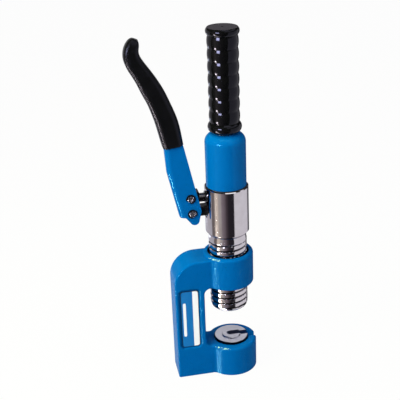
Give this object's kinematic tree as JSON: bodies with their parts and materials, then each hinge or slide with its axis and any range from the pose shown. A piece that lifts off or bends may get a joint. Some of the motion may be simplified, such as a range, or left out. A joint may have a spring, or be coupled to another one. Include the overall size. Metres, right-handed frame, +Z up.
{
  "type": "hydraulic chain breaker",
  "caption": "Hand-pumped hydraulic chain breaker: cast C-frame with slotted anvil die, screwed-in cylinder with ram and punch, pump lever, oil tank and ribbed handle.",
  "frame": {"origin": "on the base plane, where the ram axis meets it", "axes": "+Z up along the ram axis, -X towards the frame's spine and the pump lever, -Y towards the plate side"},
  "size_m": [0.1367, 0.0594, 0.4147],
  "materials": {
    "blue_enamel_casting": "glossy enamel over cast steel",
    "blue_enamel_tube": "glossy enamel over steel tube",
    "blue_enamel_sheet": "glossy enamel over pressed sheet",
    "printed_plate": "printed, satin, bare of words",
    "plated_steel": "turned and bright plated",
    "ground_steel": "ground",
    "plunger_steel": "ground, oiled",
    "pin_steel": "turned ends",
    "core_steel": "drawn tube",
    "spring_steel": "coiled wire",
    "blackened_steel": "chemically blackened",
    "copper_washer": "soft copper",
    "seal_rubber": "moulded nitrile rubber",
    "dipped_pvc": "glossy dipped coat",
    "moulded_pvc": "glossy moulded grip"
  },
  "bodies": {
    "frame": {"c_frame": "blue_enamel_casting", "name_plate": "printed_plate", "anvil_die": "ground_steel"},
    "feed": {"barrel_washer": "copper_washer"},
    "pump": {"cylinder_barrel": "plated_steel", "end_gland": "blackened_steel", "rod_wiper": "seal_rubber", "pump_body": "plated_steel", "pivot_lug": "blackened_steel", "plunger_gland": "blackened_steel", "plunger_seal": "seal_rubber", "delivery_ball": "ground_steel", "delivery_spring": "spring_steel", "suction_ball": "ground_steel", "suction_spring": "spring_steel", "tank_seal": "seal_rubber", "return_spring": "spring_steel"},
    "ram": {"ram_piston": "ground_steel", "piston_seal": "seal_rubber", "punch_pin": "ground_steel"},
    "lever": {"lever_channel": "blue_enamel_sheet", "lever_grip": "dipped_pvc", "pivot_pin": "pin_steel", "plunger_pin": "pin_steel", "retaining_clips": "blackened_steel"},
    "plunger": {"pump_plunger": "plunger_steel"},
    "handle": {"reservoir_tube": "blue_enamel_tube", "oil_bladder": "seal_rubber", "release_needle": "ground_steel", "handle_core": "core_steel", "handle_grip": "moulded_pvc"}
  },
  "joints": [
    {"name": "barrel_feed", "type": "slide", "parent": "frame", "child": "feed", "axis": [0, 0, 1], "range_m": [-0.009, 0.012]},
    {"name": "barrel_turn", "type": "hinge", "parent": "feed", "child": "pump", "pos_m": [0, 0, 0.1355], "axis": [0, 0, 1], "range_deg": [-478, 637]},
    {"name": "lever_hinge", "type": "hinge", "parent": "pump", "child": "lever", "pos_m": [-0.0409, 0, 0.2087], "axis": [0, 1, 0], "range_deg": [-22, 16]},
    {"name": "plunger_slide", "type": "slide", "parent": "pump", "child": "plunger", "axis": [1, 0, 0], "range_m": [-0.0072, 0.0053]},
    {"name": "ram_slide", "type": "slide", "parent": "pump", "child": "ram", "axis": [0, 0, -1], "range_m": [0, 0.03], "stiffness_N_per_m": 1500, "springref_m": -0.012, "deforming": ["return_spring"]},
    {"name": "release_turn", "type": "hinge", "parent": "pump", "child": "handle", "pos_m": [0, 0, 0.25], "axis": [0, 0, 1], "range_deg": [0, 90]}
  ],
  "couplings": [
    {"joint": "barrel_turn", "follows": "barrel_feed", "rad_per_m": 924},
    {"joint": "plunger_slide", "follows": "lever_hinge", "m_per_rad": 0.0179}
  ]
}
